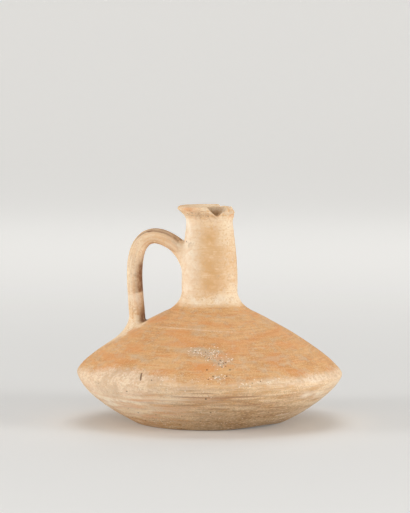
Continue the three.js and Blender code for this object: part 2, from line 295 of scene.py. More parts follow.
# Where the clay's tones and marks lie, from 0 to 1 at each point
def slip_mask(points):
    """Orange-tan slip on the shoulder, rubbed off along the ridge and round the handle's foot."""
    x, y, z = np.moveaxis(points, -1, 0)
    top = slip_top + 0.5 * noise(points, 8, 7)
    wiped = step(np.hypot(x + handle_foot_reach + 4, y), 34, 16)
    run_down = z + 3 * beside(points, -84, 14)
    return step(run_down, 42.5, 50.5) * step(z, top + 1.6, top - 1.6) * (1 - wiped)


def scraped_mask(points):
    """Bare scraped clay below the ridge."""
    return step(points[..., 2], 47.5, 43.5)


def crust_mask(points):
    """Pale lime crust along the ridge: thick on the handle's near side, thin elsewhere, and thicker on the
    right, where it is partly a painted highlight along the ridge.
    """
    thick = beside(points, -133, 27)
    top = 48 + 6.3 * beside(points, -120, 24)
    bottom = 42 - 11 * thick
    band = between(points[..., 2], bottom - 6, bottom + 3, top - 4, top + 6)
    # Less crust where it is worn off at the front; more on the right, where the pale band is partly painted
    # highlight.
    wear_minus_highlight = beside(points, -80, 13) - 1.1 * beside(points, -30, 24)
    clumps = uneven(points, (0.3, (16, 16, 5), 5), (0.25, (5, 5, 2), 6))
    return np.clip(band * (0.5 + 0.45 * thick - 0.3 * wear_minus_highlight + clumps), 0, 1)


def warm_mask(points):
    """Redder clay: two spots on the belly, faint clouds above and below it, and the ends of the lip."""
    z = points[..., 2]
    clouds = 0.65 * step(noise(points, (30, 30, 7), 9), 0, 0.5) * between(z, 46, 52, 90, 100)
    low = beside(points, -120, 30) * between(z, 6, 16, 36, 44)
    low *= 0.8 * step(noise(points, (25, 25, 3), 44), -0.3, 0.4)
    return np.clip(spots(points, *belly_reds) + clouds + 0.8 * spots(points, *lip_reds) + low, 0, 1)


def tan_mask(points):
    """Tan clay showing through the pale skin: in ragged bands up the neck, and where its luting ends."""
    z = points[..., 2]
    sides = 0.9 * beside(points, -83, 30) + 0.8 * beside(points, 95, 42)
    ragged = 1 + uneven(points, (0.35, (12, 12, 16), 10), (0.25, (30, 30, 4), 11))
    neck = sides * ragged * between(z, 106, 118, 160, 174)
    crumbled = between(z, 173, 177, 180, 184) * step(azimuth_gap(points, -112), 55, 35)
    return np.clip(neck + 0.55 * bell(z, 102.6, 1.3) + 0.3 * crumbled * ragged, 0, 1)


def chalk_mask(points):
    """Whitish skin: on the neck by the handle, under the lip, above the luting and on the lower bowl, where
    the spots on its right are chalky crust and painted highlight in one.
    """
    z = points[..., 2]
    patches = step(noise(points, (9, 9, 14), 12), -0.3, 0.5)
    drawn_out = step(noise(points, (30, 30, 3), 19), -0.3, 0.4)
    side = beside(points, -138, 30) * between(z, 108, 116, 172, 182)
    rings = bell(z, 107, 3.5) + 0.8 * bell(z, 172, 5)
    neck = side * (0.6 + 0.25 * patches) + 0.7 * rings * patches
    near_side = beside(points, -134, 36) * between(z, 6, 20, 38, 46) * (0.4 + 0.6 * drawn_out)
    far_side = beside(points, 2, 26) * between(z, 5, 12, 38, 46) * (0.35 + 0.4 * drawn_out)
    return np.clip(neck + near_side + far_side + 0.8 * spots(points, *bowl_chalk_and_glints), 0, 1)


def bloom_mask(points):
    """Grey lime bloom in soft blotches on the shoulder, drawn out along the wheel marks."""
    blotch = step(uneven(points, (1, (18, 18, 6), 13), (0.5, (7, 7, 3), 14)), 0.1, 0.8)
    clouds = 0.9 * blotch * between(points[..., 2], 46, 54, 97, 103)
    return np.clip(clouds + 0.8 * spots(points, *grey_blooms), 0, 1)


def speck_mask(points):
    """Clusters of grits and pores on the belly, and thinner ones along the ridge, the foot and the lip."""
    thin = 0.4 * spots(points, *thin_grits) + 0.7 * spots(points, *lip_grits)
    thin += 0.1 * crust_mask(points) + 0.2 * step(points[..., 2], 22, 6)
    return np.clip(spots(points, *belly_grits) + thin, 0, 1)


def red_mask(points):
    """Reddish lines scraped round the lower body, and a wispy brown band on its near side."""
    z = points[..., 2] + 0.5 * noise(points, 26, 15)
    total = 0.5 * step(noise(points, (40, 40, 1.5), 16), 0.15, 0.6) * between(z, 5, 14, 34, 40)
    for height, azimuth, reach in scraped_lines:
        total += bell(z, height, 0.6) * step(azimuth_gap(points, azimuth), reach + 4, reach - 2)
    aside = azimuth_gap(points, -97)
    wisps = step(noise(points, (25, 25, 1.6), 43), -0.3, 0.5)
    band = bell(z, 28.6 - 0.0022 * aside**2, 2.2) * step(aside, 52, 40) * wisps
    return np.clip(total + 0.55 * band, 0, 1)


def soil_mask(points):
    """Browner, rougher clay towards the foot, least on the handle's near side."""
    clean = 0.85 * beside(points, -128, 36)
    dusty = 9 * beside(points, -52, 34)
    height = points[..., 2] - dusty + uneven(points, (3, (30, 30, 6), 17), (2, (8, 8, 2.5), 18))
    return np.clip(step(height, 36, 4) * (1 - clean), 0, 1)


def line_mask(points):
    """One thin pale scratch, a little aslant round the near side of the shoulder, and a pale band below."""
    x, y, z = np.moveaxis(points, -1, 0)
    aslant = z + 0.053 * x + 0.077 * y
    scratch = 0.45 * bell(aslant, 80.5, 0.45) * step(azimuth_gap(points, -98), 52, 20)
    band = bell(z, 31.6, 1.2) * beside(points, -102, 12)
    return np.clip(scratch + band, 0, 1)


def stain_mask(points):
    """Darker clay: round the pit where the handle joins the neck, a line under the lip that is painted
    shade under the flare and worn clay in one, and painted shade on the strap's inner side and in the
    corner of the handle's foot.
    """
    x, y, z = np.moveaxis(points, -1, 0)
    pit_side = 0.5 * spots(points, joint_pit) * step(noise(points, 2.5, 45), -0.4, 0.4)
    broken_up = step(noise(points, 3.5, 41), -0.2, 0.3) * step(azimuth_gap(points, -109), 18, 10)
    # The line under the lip's flare: painted shade under the flare, and worn clay.
    under_lip_shade_and_wear = 0.6 * bell(z + 0.5 * noise(points, 5, 42), 181.8, 0.7) * broken_up
    # Painted shade on the strap's inner side near its foot, and in the corner where the foot meets the
    # shoulder.
    inner = between(x, -65, -59, -55, -51) * step(np.abs(y), 14, 9)
    corner = step(x, -61, -57.5) * step(z, 106, 90)
    painted_foot_shade = inner * (0.3 * between(z, 82, 86, 108, 114) + 0.6 * corner)
    return np.clip(pit_side + under_lip_shade_and_wear + painted_foot_shade, 0, 1)


MASKS = {
    "slip": slip_mask,
    "scraped": scraped_mask,
    "crust": crust_mask,
    "warm": warm_mask,
    "tan": tan_mask,
    "chalk": chalk_mask,
    "bloom": bloom_mask,
    "speck": speck_mask,
    "red": red_mask,
    "soil": soil_mask,
    "line": line_mask,
    "stain": stain_mask,
}


def masks_of(points, **known):
    """Every mask at these points, with those that a piece knows better for itself."""
    bare = np.zeros(points.shape[:-1])
    found = {name: mask(points) for name, mask in MASKS.items()}
    return {"broken": bare, "inside": bare, **found, **known}


# Hand work on the clay
def leaned(points):
    """The shoulder stands a little higher on the handle side, and foot and neck stay level."""
    x, y, z = np.moveaxis(points, -1, 0)
    rises = step(z, ridge_height / 2, ridge_height + body_wall)
    settles = 1 - step(z, collar_height - 2 * body_wall, luting_top)
    outwards = -x * np.hypot(x, y) / ridge_radius**2
    return np.stack((x, y, z + lean * outwards * rises * settles), -1)


def wheel_work(points):
    """How far the surface stands out from its smooth outline: throwing rings, dents and slow wander."""
    rings = uneven(points, (0.10, (60, 60, 2.4), 1), (0.05, (35, 35, 1.1), 2))
    dents = uneven(points, (0.15, 16, 3), (0.25, 48, 4))
    return (rings + dents) * step(points[..., 2], 0.4, 5)


def foot_lift(points):
    """How far the foot's edge clears the ground where it is worn, at the front right."""
    x, y, z = np.moveaxis(points, -1, 0)
    edge = step(z, 9, 0) * step(np.hypot(x, y), 40, 62)
    return worn_foot["lift"] * beside(points, worn_foot["azimuth"], worn_foot["spread"]) * edge


def turned(outline, turns):
    """Rows of points, an outline turned about the Z axis, and the outward direction at each."""
    angle = np.linspace(0, 2 * pi, turns, endpoint=False)
    along = np.gradient(outline, axis=0)
    along /= np.maximum(np.hypot(*along.T), 1e-9)[:, None]
    around = np.stack((np.cos(angle), np.sin(angle)), -1)

    def spun(flat):
        ring = flat[:, None, :1] * around[None]
        return np.concatenate((ring, np.broadcast_to(flat[:, None, 1:], ring.shape[:2] + (1,))), -1)

    return spun(outline), spun(np.stack((along[:, 1], -along[:, 0]), 1))


def hand_finished(points, outwards):
    """Points of a turned surface with their wheel marks, crust, worn foot and lean."""
    crust = crust_mask(points) * (0.06 + uneven(points, (0.07, 2.6, 21), (0.04, 1.4, 22)))
    points = points + outwards * (wheel_work(points) + crust)[..., None]
    points[..., 2] += foot_lift(points)
    return leaned(points)


# Meshes
def mesh_piece(name, rows, masks, loop_rows):
    """A closed surface from rows of points that go round. The rows close on themselves, or end in caps."""
    count, sides = rows.shape[:2]
    index = np.arange(count * sides).reshape(count, sides)
    ahead = np.roll(index, -1, axis=1)
    above, above_ahead = np.roll(index, -1, axis=0), np.roll(ahead, -1, axis=0)
    quads = np.stack((index, ahead, above_ahead, above), -1)
    ends = []
    if not loop_rows:
        quads = quads[:-1]
        ends = [index[0][::-1].tolist(), index[-1].tolist()]
    mesh = bpy.data.meshes.new(name)
    mesh.from_pydata((rows.reshape(-1, 3) * MM).tolist(), [], quads.reshape(-1, 4).tolist() + ends)
    for mask, values in masks.items():
        layer = mesh.attributes.new(mask, "FLOAT", "POINT")
        layer.data.foreach_set("value", np.ravel(values).astype(np.float32))
    mesh.polygons.foreach_set("use_smooth", np.ones(len(mesh.polygons), bool))
    mesh.set_sharp_from_angle(angle=radians(crease_angle))
    piece = bpy.data.objects.new(name, mesh)
    bpy.context.scene.collection.objects.link(piece)
    return piece


pieces = {}


# The two bowls. Their insides are plain, and they meet at the ridge.
def bowl(name, outer, inner, loop_rows):
    """A bowl from its outer outline, finished by hand, and its plain inner one."""
    points, outwards = turned(np.vstack((outer, inner)), body_turns)
    shown = len(outer)
    points = np.concatenate((hand_finished(points[:shown], outwards[:shown]), leaned(points[shown:])))
    return mesh_piece(name, points, masks_of(points), loop_rows)


axis_gap = 1.0
seam_overhang = 1.5
hollow_inset = 12.0
hollow_rise = 4.0
lower_bend = (88, 14)
upper_bend = (66, 76)
seam_inside = ridge - (body_wall + seam_overhang, 0)
hollow_edge = np.array((hollow_inset, hollow_rise))
foot_turn = foot_edge + polar(foot_round, foot_slope)
foot_curve = bezier((foot_radius - foot_round, 0), foot_edge, foot_turn, count=6)
wall_start = np.searchsorted(lower_wall[:, 1], foot_turn[1]) + 1
lower_outer = np.vstack(
    (((axis_gap, 0), (foot_radius / 2, 0)), foot_curve, even(lower_wall[wall_start:], wall_rows))
)
lower_hollow = bezier(ridge - hollow_edge, lower_bend, (foot_radius, floor_wall), count=8)
lower_inner = np.vstack((seam_inside, lower_hollow, (axis_gap, floor_wall)))
pieces["lower_bowl"] = bowl("lower_bowl_clay", lower_outer, lower_inner, False)

bore_radius = neck_radius - neck_wall
under_neck = collar + polar(collar_radius - neck_radius, 180 - collar_slope)
upper_outer = np.vstack((even(upper_wall, wall_rows), under_neck))
bore_foot = collar_height - body_wall / 2
upper_hollow = bezier((bore_radius, bore_foot), upper_bend, ridge - hollow_edge * (1, -1), count=8)
upper_inner = np.vstack(((bore_radius, under_neck[1]), upper_hollow, seam_inside))
pieces["shoulder"] = bowl("shoulder_clay", upper_outer, upper_inner, True)


# The neck with its broken lip
def lip_erosion(points):
    """Crumbled and wrinkled clay on the underside of the near lip."""
    where = np.clip(spots(points, *crumbled_lip), 0, 1)
    return where * uneven(points, (0.8, (2.6, 2.6, 6), 31), (0.5, 1.6, 32))


def broken_lip(points):
    """The lip with its breaks, and how much of each point is fracture."""
    x, y, z = np.moveaxis(points, -1, 0)
    rough = uneven(points, (0.6, 4.5, 23), (0.55, 1.8, 24))
    middle = waist[1] + (lip_depth - lip_drop) / 2
    keep = np.ones_like(x)
    spare = np.full_like(x, lip_radius)
    for azimuth, offset, tilt in lost_flares:
        beyond = np.maximum(x * cos(radians(azimuth)) + y * sin(radians(azimuth)), 1e-3)
        limit = offset - (z - middle) * tan(radians(tilt)) + rough
        keep = np.minimum(keep, limit / beyond)
        spare = np.minimum(spare, np.maximum(limit - beyond, 0))
    x, y = x * np.clip(keep, 0, 1), y * np.clip(keep, 0, 1)
    top = np.full_like(x, rim_height + 1)
    for cut in (notch, chip, far_dip):
        turn = radians(cut["azimuth"])
        ahead = x * cos(turn) + y * sin(turn)
        aside = y * cos(turn) - x * sin(turn)
        fall = cut["depth"] / (np.hypot(cut["width"] / 2, cut["round"]) - cut["round"])
        root = rim_height - cut["depth"] + fall * (np.hypot(aside, cut["round"]) - cut["round"])
        top = np.where(ahead > 0, np.minimum(top, root + 0.4 * rough), top)
    turn = radians(lowered_rim["azimuth"])
    beyond = x * cos(turn) + y * sin(turn) - lowered_rim["offset"]
    low = rim_height - lowered_rim["depth"] - beyond * tan(radians(lowered_rim["tilt"])) + 0.5 * rough
    inward = np.clip(broken_round - spare, 0, broken_round)
    low = low - (broken_round - np.sqrt(broken_round**2 - inward**2))
    top = np.minimum(top, low + 3 * step(beyond, 0.8, -0.8))
    fresh = np.maximum(step(keep, 1, 0.985), step(z - top, 0, 0.3))
    return np.stack((x, y, np.minimum(z, top)), -1), fresh


neck_lift = 2.0
neck_foot = (neck_radius, collar_height + neck_lift)
lip_outline = np.vstack((flare_curve, crest_curve[1:], mouth_curve[1:]))
bore_outline = neck_curve[::-1] - (neck_wall, 0)
bore_outline = bore_outline[bore_outline[:, 1] < mouth[1] - mouth_depth]
outer = np.vstack((neck_foot, even(neck_curve, wall_rows), even(lip_outline, wall_rows)[1:]))
bore = even(np.vstack((mouth, bore_outline)), wall_rows // 2)[1:]
bore = np.vstack((bore, (bore_radius, neck_foot[1])))
points, outwards = turned(np.vstack((outer, bore)), neck_turns)
relief = wheel_work(points) + lip_erosion(points)
points, fresh = broken_lip(points + outwards * relief[..., None])
# The mouth's inner face darkens with depth below the rim: painted shade down the bore.
facing_in = np.arange(len(points))[:, None] > len(outer) - len(mouth_curve)
bore_shade = facing_in * step(points[..., 2], rim_height - 2, rim_height - mouth_depth)
pieces["neck"] = mesh_piece("neck_clay", points, masks_of(points, broken=fresh, inside=bore_shade), True)

# The luting ring round the neck's foot. Its edges run just under the shoulder's and the neck's skin.
sunk = 0.15
feather = 3.0
ring_rise = 5.4
ring_depth = 1.5
ring_drop = 2.0
ring_toe = collar + polar(feather, -collar_slope) - up * sunk
ring_head = np.array((neck_radius - sunk, luting_top + feather))
ring_corner = (neck_radius, collar_height + ring_rise)
ring_inside = neck_radius - ring_depth
ring_face = bezier(ring_toe, ring_corner, ring_head, count=48)
ring_back = (
    (ring_inside, luting_top),
    (ring_inside, collar_height),
    (collar_radius - feather, collar_height - ring_drop),
)
points, outwards = turned(np.vstack((ring_face, ring_back)), neck_turns)
smear = uneven(points, (0.22, (12, 12, 5), 25), (0.12, 4, 26))
points = leaned(points + outwards * (wheel_work(points) + smear)[..., None])
pieces["neck_luting"] = mesh_piece("neck_luting_clay", points, masks_of(points), True)


# The strap handle, along a line in the XZ plane
def in_plane(reach, height):
    return np.array((-reach, height))


handle_top = in_plane(bore_radius, handle_top_height)
handle_outer = in_plane(handle_outer_reach, handle_outer_height)
handle_foot = in_plane(handle_foot_reach, shoulder_height(handle_foot_reach) - strap_thickness)
upper_line = bezier(
    handle_top,
    handle_top + polar(handle_top_reach, 180 - handle_top_slope),
    handle_outer + up * handle_shoulder_reach,
    handle_outer,
    count=curve_points,
)
lower_line = bezier(
    handle_outer,
    handle_outer - up * handle_drop_reach,
    handle_foot + up * handle_foot_rise,
    handle_foot,
    count=curve_points,
)
strap_line = even(np.vstack((upper_line, lower_line[1:])), strap_line_points)
strap_along = np.gradient(strap_line, axis=0)
strap_along /= np.hypot(*strap_along.T)[:, None]
strap_length = np.sum(np.hypot(*np.diff(strap_line, axis=0).T))


def strap_point(turn, t, grow=0.0):
    """Points of the strap: turn goes once round from its outer face, t runs from the neck to the foot."""
    where = np.linspace(0, 1, len(strap_line))
    x, z, along_x, along_z = (np.interp(t, where, v) for v in (*strap_line.T, *strap_along.T))
    facing, across = np.cos(2 * pi * turn), np.sin(2 * pi * turn)
    square = 2 / strap_squareness
    outwards = np.sign(facing) * np.abs(facing) ** square * strap_thickness / 2 + facing * grow
    sideways = np.sign(across) * np.abs(across) ** square * strap_width / 2 + across * grow
    return np.stack((x + along_z * outwards, sideways + 0 * x, z - along_x * outwards), -1)


def clear_of_neck(points):
    return np.hypot(points[..., 0], points[..., 1]) - neck_across(points[..., 2])


def clear_of_shoulder(points):
    return points[..., 2] - shoulder_height(np.hypot(points[..., 0], points[..., 1]))


def onto_neck(points, lift):
    across = neck_across(points[..., 2]) + lift
    x = -np.sqrt(np.maximum(across**2 - points[..., 1] ** 2, 1))
    return np.stack((x, points[..., 1], points[..., 2]), -1)


def onto_shoulder(points, lift):
    height = shoulder_height(np.hypot(points[..., 0], points[..., 1])) + lift
    return np.stack((points[..., 0], points[..., 1], height), -1)


def meeting(clear, inside, turn, depth=0.0):
    """Where along the strap each of its lines comes to a depth under the neck's or shoulder's skin."""
    low, high = np.full_like(turn, inside), np.full_like(turn, 0.5)
    for _ in range(halvings):
        middle = (low + high) / 2
        out = clear(strap_point(turn, middle)) > -depth
        high, low = np.where(out, middle, high), np.where(out, low, middle)
    return high


def strap_stains(points, share, turn):
    """Darker marks on the strap alone: a brown stain on its near inner side with painted shade along its
    inner edge, a dark line along its top, and a darker top and underside by the neck.
    """
    x, y, z = np.moveaxis(points, -1, 0)
    outer = np.abs((turn + 0.5) % 1 - 0.5)
    ragged = uneven(points, (1.0, 5, 33), (0.6, 2, 34))
    near = step(y, 5, 0)
    patch = near * step(z + 1.2 * ragged, 110, 113) * step(z + 4 * ragged, 144, 126)
    patch *= step(x + 1.6 * ragged, -67.5, -60.5)
    # Painted shade along the strap's inner edge, which faces the neck.
    edge = near * between(z, 110, 114, 132, 150) * step(x + 0.4 * ragged, -61.8, -59.2)
    worn = 0.6 + 0.4 * step(noise(points, 6, 46), -0.3, 0.3)
    groove = near * worn * bell(outer + 0.014 * ragged, 0.13, 0.032) * step(share, 0.42, 0.3)
    top = step(outer + 0.03 * ragged, 0.14, 0.04) * step(share + 0.04 * ragged, 0.34, 0.2)
    under = step(outer, 0.3, 0.42) * step(share, 0.2, 0.1)
    return 0.65 * patch + 0.6 * edge + groove + 0.45 * top + 0.5 * under


turns = np.arange(strap_sides) / strap_sides
strap_sunk = 0.6
start = meeting(clear_of_neck, 0.0, turns, strap_sunk)
end = meeting(clear_of_shoulder, 1.0, turns, strap_sunk)
share = np.linspace(0, 1, strap_rings)[:, None]
points = strap_point(np.broadcast_to(turns, (strap_rings, strap_sides)), start + (end - start) * share)
outwards = points - points.mean(axis=1, keepdims=True)
outwards /= np.linalg.norm(outwards, axis=-1, keepdims=True)
pulled_across = 90 * np.sin(2 * pi * turns)
pulled_through = 40 * np.cos(2 * pi * turns)
pulled = np.stack(np.broadcast_arrays(pulled_across, pulled_through, 60 * share), -1)
grooves = uneven(pulled, (0.22, (16, 16, 22), 27), (0.14, (6, 6, 16), 28))
points = leaned(points + outwards * (grooves + uneven(points, (0.3, 18, 29), (0.10, 4, 30)))[..., None])
streaks = step(uneven(pulled, (1, (12, 12, 16), 35), (0.8, (5, 5, 12), 36)), -0.2, 0.7)
dark_lines = step(uneven(pulled, (1, (4, 4, 14), 40)), 0.25, 0.7)
bare = np.zeros(points.shape[:-1])
strap_masks = masks_of(
    points,
    slip=bare,
    scraped=bare,
    bloom=bare,
    warm=0.25 * streaks,
    tan=0.1 + 0.35 * step(share, 0.5, 0.3) + 0.5 * streaks,
    stain=np.clip(stain_mask(points) + strap_stains(points, share, turns) + 0.2 * dark_lines, 0, 1),
)
pieces["handle"] = mesh_piece("handle_clay", points, strap_masks, False)


# Luting clay smoothed round each end of the strap. Its edges run just under the skin of what it joins.
skin_lift = 0.02


def strap_luting(name, luting, clear, onto, inside, seed):
    facing = np.cos(2 * pi * turns)
    ends = np.where((facing > 0)[:, None], luting["outside"], luting["inside"])
    side = np.array(luting["side"], float)
    foot = meeting(clear, inside, turns)
    spread_out = 1.15 + 0.25 * noise(strap_point(turns, foot), 7, seed)
    rise, run = (side + (ends - side) * (facing**2)[:, None]).T * spread_out
    away = 1 if inside < 0.5 else -1
    head = foot + away * rise / strap_length
    first = strap_point(turns, head, -sunk)
    corner = strap_point(turns, foot, 2 * sunk)
    toe = onto(strap_point(turns, foot, run), -sunk)
    share = np.linspace(0, 1, luting_rows)[:, None, None]
    face = first * (1 - share) ** 2 + 2 * corner * share * (1 - share) + toe * share**2
    low = (clear(face) < skin_lift) & (share[..., 0] < 0.97)
    face = np.where(low[..., None], onto(face, skin_lift), face)
    outwards = face - strap_point(turns, foot, -strap_thickness / 4)
    outwards /= np.linalg.norm(outwards, axis=-1, keepdims=True)
    smear = 0.3 * noise(face, 6, seed + 1) * np.sin(pi * share[..., 0])
    face = face + outwards * smear[..., None]
    under = onto((toe + strap_point(turns, foot)) / 2, -1.0)
    within = strap_point(turns, (foot + head) / 2, -1.2)
    rows = leaned(np.concatenate((face, under[None], within[None]))[::-away])
    return mesh_piece(name, rows, masks_of(rows, warm=0 * rows[..., 0], bloom=0 * rows[..., 0]), True)


pieces["handle_top_luting"] = strap_luting(
    "handle_top_luting_clay", top_luting, clear_of_neck, onto_neck, 0.0, 37
)
pieces["handle_foot_luting"] = strap_luting(
    "handle_foot_luting_clay", foot_luting, clear_of_shoulder, onto_shoulder, 1.0, 39
)


# Materials
def tone(red, green, blue):
    """A colour seen on the clay, 0 to 255 as shown on a screen, as linear light."""
    light = [((v / 255 + 0.055) / 1.055) ** 2.4 for v in (red, green, blue)]
    return (*light, 1.0)


class Shader:
    """A material under construction, with short names for the nodes that it needs."""

    def __init__(self, name):
        self.material = bpy.data.materials.new(name)
        self.material.use_nodes = True
        self.nodes = self.material.node_tree.nodes
        self.links = self.material.node_tree.links
        self.surface = self.nodes["Principled BSDF"]

    def add(self, kind, **settings):
        node = self.nodes.new(kind)
        for key, value in settings.items():
            setattr(node, key, value)
        return node

    def set(self, socket, value):
        if isinstance(value, bpy.types.NodeSocket):
            self.links.new(value, socket)
        else:
            socket.default_value = value

    def place(self):
        return self.add("ShaderNodeTexCoord").outputs["Object"]

    def mask(self, name):
        return self.add("ShaderNodeAttribute", attribute_name=name).outputs["Fac"]

    def math(self, operation, a, b, clamp=False):
        node = self.add("ShaderNodeMath", operation=operation, use_clamp=clamp)
        self.set(node.inputs[0], a)
        self.set(node.inputs[1], b)
        return node.outputs[0]

    def vector(self, operation, a, b, output="Vector"):
        node = self.add("ShaderNodeVectorMath", operation=operation)
        self.set(node.inputs[0], a)
        self.set(node.inputs[1], b)
        return node.outputs[output]

    def noise(self, along, upright, detail, output="Fac"):
        """Noise from 0 to 1, with so many features in a metre along the ground and upright."""
        node = self.add("ShaderNodeTexNoise")
        self.set(node.inputs["Vector"], self.vector("MULTIPLY", self.place(), (along, along, upright)))
        node.inputs["Scale"].default_value = 1
        node.inputs["Detail"].default_value = detail
        return node.outputs[output]

    def ramp(self, value, start, end, low=0.0, high=1.0):
        node = self.add("ShaderNodeMapRange", interpolation_type="SMOOTHSTEP")
        for socket, v in zip(node.inputs, (value, start, end, low, high)):
            self.set(socket, v)
        return node.outputs[0]

    def grits(self, per_metre, size, share):
        """Small crooked grains, so many in a metre, of which a share is there. It may vary by place."""
        crooked = self.vector("MULTIPLY", self.noise(900, 900, 2, "Color"), (MM, MM, MM))
        node = self.add("ShaderNodeTexVoronoi")
        self.set(node.inputs["Vector"], self.vector("ADD", self.place(), crooked))
        node.inputs["Scale"].default_value = per_metre
        split = self.add("ShaderNodeSeparateColor")
        self.set(split.inputs[0], node.outputs["Color"])
        grown = self.math("MULTIPLY", split.outputs[1], size)
        near = self.ramp(self.math("SUBTRACT", node.outputs["Distance"], grown), 0.12, 0.0)
        return self.math("MULTIPLY", near, self.math("LESS_THAN", split.outputs[0], share))

    def cut(self, ends, width):
        """1 along a straight cut between two places in mm, fading to 0 at half its width."""
        first, last = (Vector(end) * MM for end in ends)
        along = last - first
        gap = self.vector("SUBTRACT", self.place(), first)
        share = self.vector("DOT_PRODUCT", gap, along / along.length_squared, "Value")
        nearest = self.vector("MULTIPLY", self.math("MULTIPLY", share, 1.0, clamp=True), along)
        away = self.vector("DISTANCE", gap, nearest, "Value")
        return self.ramp(away, width / 2 * MM, width / 6 * MM)

    def dot(self, middle, width):
        """1 at a place in mm, fading to 0 at half a width from it."""
        away = self.vector("DISTANCE", self.place(), Vector(middle) * MM, "Value")
        return self.ramp(away, width / 2 * MM, width / 6 * MM)

    def mix(self, share, under, over):
        node = self.add("ShaderNodeMix", data_type="RGBA")
        self.set(node.inputs["Factor"], share)
        under_socket, over_socket = (socket for socket in node.inputs if socket.type == "RGBA")
        self.set(under_socket, under)
        self.set(over_socket, over)
        return next(socket for socket in node.outputs if socket.type == "RGBA")


PALE = tone(244, 221, 188)
PALE_WARM = tone(232, 197, 156)
CHALK = tone(248, 232, 209)
TAN = tone(217, 170, 115)
SLIP = tone(220, 168, 110)
SLIP_DEEP = tone(208, 152, 92)
SLIP_PALE = tone(230, 189, 140)
ORANGE = tone(221, 147, 83)
BLOOM = tone(205, 177, 147)
GREY = tone(188, 172, 150)
SCRAPED = tone(219, 172, 119)
SCRAPED_PALE = tone(242, 210, 167)
RED = tone(184, 130, 92)
RUST = tone(160, 103, 67)
LIME = tone(242, 219, 191)
LIME_WARM = tone(229, 196, 163)
SOIL = tone(190, 158, 122)
SOIL_DEEP = tone(151, 118, 84)
SOIL_PALE = tone(222, 194, 156)
BROWN = tone(138, 97, 66)
DARK = tone(104, 66, 38)
FRACTURE = tone(230, 203, 170)
# Painted shade down the inside of the mouth
BORE_SHADE = tone(205, 162, 116)

# Marks too fine for the masks: a nick and chalky scratches from end to end, and places of deep pores. The
# nick and the pores are painted dark, as painted shade in their hollows.
nick = ((-43.5, -98.6, 52.0), (-43.6, -103.4, 47.3))
deep_pores = (
    (-18.6, -11.4, 156.3),
    (23.8, -96.5, 58.4),
    (30.6, -97.3, 56.1),
    (28.6, -103.7, 51.4),
    (17.6, -106.1, 51.5),
    (11.9, -101.4, 56.3),
    (21.5, -90.5, 63.0),
    (26.2, -91.5, 61.6),
)
scratches = (
    ((64.9, -58.4, 13.8), (74.3, -47.5, 14.3)),
    ((59.3, -47.1, 6.8), (70.2, -42.3, 10.4)),
    ((61.0, -43.0, 6.3), (67.3, -26.3, 5.1)),
)
cut_width = 2.2
pore_width = 2.0
relief_height = 0.8


